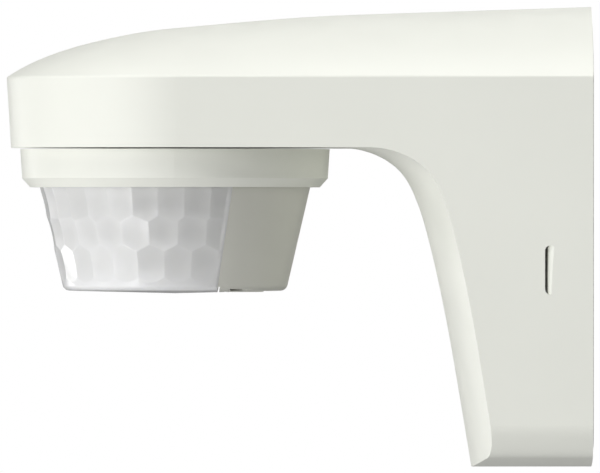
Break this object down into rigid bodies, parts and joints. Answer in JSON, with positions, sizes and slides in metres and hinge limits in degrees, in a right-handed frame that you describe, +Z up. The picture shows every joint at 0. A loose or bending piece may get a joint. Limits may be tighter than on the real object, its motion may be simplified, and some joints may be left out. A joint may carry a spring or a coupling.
{
  "type": "motion sensor",
  "caption": "Wall-mounted outdoor motion sensor: a hollow arm-and-post housing on a wall base, with a round faceted-lens head that turns under the arm.",
  "frame": {"origin": "on the wall face of the base plate, halfway between its two screw slots", "axes": "+Z up, +Y into the wall, so the arm reaches out along -Y; +X across, to the right when facing +Y"},
  "size_m": [0.076, 0.132, 0.1037],
  "materials": {
    "housing_plastic": "fine moulded, slightly satin, off-white",
    "base_plastic": "plain moulded, off-white",
    "lens_plastic": "milky, translucent, faceted",
    "shroud_plastic": "satin grey-white",
    "collar_plastic": "fine moulded, off-white",
    "dark_plastic": "matt black",
    "grey_rubber": "matt grey",
    "black_rubber": "matt black",
    "terminal_plastic": "grey",
    "brass_plain": "plain",
    "steel_zinc": "zinc plated",
    "sensor_can": "drawn can with a dark window",
    "circuit_board": "green solder mask",
    "relay_case": "black case",
    "film_case": "yellow box",
    "can_sleeve": "dark sleeve",
    "varistor_coat": "blue dipped",
    "fuse_glass": "clear tube with metal caps",
    "white_plastic": "white",
    "cable_sheath": "grey sheath"
  },
  "bodies": {
    "wall_base": {"base_plate": "base_plastic", "base_seal": "black_rubber", "cable_grommet": "grey_rubber", "terminal_block": "terminal_plastic", "terminal_clamps": "brass_plain", "terminal_screws": "steel_zinc", "contact_strips": "brass_plain", "socket_block": "terminal_plastic"},
    "latch_right": {"latch_right": "base_plastic"},
    "latch_left": {"latch_left": "base_plastic"},
    "housing": {"housing_shell": "housing_plastic", "power_board": "circuit_board", "board_screws": "steel_zinc", "plug_pins": "brass_plain", "plug_header": "dark_plastic", "relay": "relay_case", "film_capacitor": "film_case", "capacitors": "can_sleeve", "varistor": "varistor_coat", "fuse": "fuse_glass", "board_connector": "white_plastic", "link_cable": "cable_sheath"},
    "sensor_head": {"head_collar": "collar_plastic", "o_ring": "black_rubber", "retaining_ring": "white_plastic", "head_screws": "steel_zinc", "lens": "lens_plastic", "shroud": "shroud_plastic", "lens_frame": "dark_plastic", "sensor_board": "circuit_board", "sensor_carrier": "dark_plastic", "pyro_sensors": "sensor_can", "light_sensor": "dark_plastic", "control_board": "circuit_board", "potentiometers": "dark_plastic", "dial_panel": "dark_plastic", "board_link": "dark_plastic"},
    "adjuster_cover": {"adjuster_cover": "shroud_plastic"},
    "dial_time": {"dial_time": "white_plastic"},
    "dial_light": {"dial_light": "white_plastic"}
  },
  "joints": [
    {"name": "housing_pull", "type": "slide", "parent": "wall_base", "child": "housing", "axis": [0, -1, 0], "range_m": [0, 0.06]},
    {"name": "latch_right_flex", "type": "hinge", "parent": "wall_base", "child": "latch_right", "pos_m": [0.033, -0.0036, -0.0076], "axis": [0, 0, 1], "range_deg": [-7, 7], "stiffness_Nm_per_rad": 0.05},
    {"name": "latch_left_flex", "type": "hinge", "parent": "wall_base", "child": "latch_left", "pos_m": [-0.033, -0.0036, -0.0076], "axis": [0, 0, -1], "range_deg": [-7, 7], "stiffness_Nm_per_rad": 0.05},
    {"name": "head_turn", "type": "hinge", "parent": "housing", "child": "sensor_head", "pos_m": [0, -0.094, 0.0196], "axis": [0, 0, 1], "range_deg": [-90, 90]},
    {"name": "cover_hinge", "type": "hinge", "parent": "sensor_head", "child": "adjuster_cover", "pos_m": [0, -0.0744, -0.01195], "axis": [1, 0, 0], "range_deg": [0, 100]},
    {"name": "dial_time_turn", "type": "hinge", "parent": "sensor_head", "child": "dial_time", "pos_m": [-0.0056, -0.0786, -0.0094], "axis": [0, 0, 1], "range_deg": [-135, 135]},
    {"name": "dial_light_turn", "type": "hinge", "parent": "sensor_head", "child": "dial_light", "pos_m": [0.0056, -0.0786, -0.0094], "axis": [0, 0, 1], "range_deg": [-135, 135]}
  ]
}
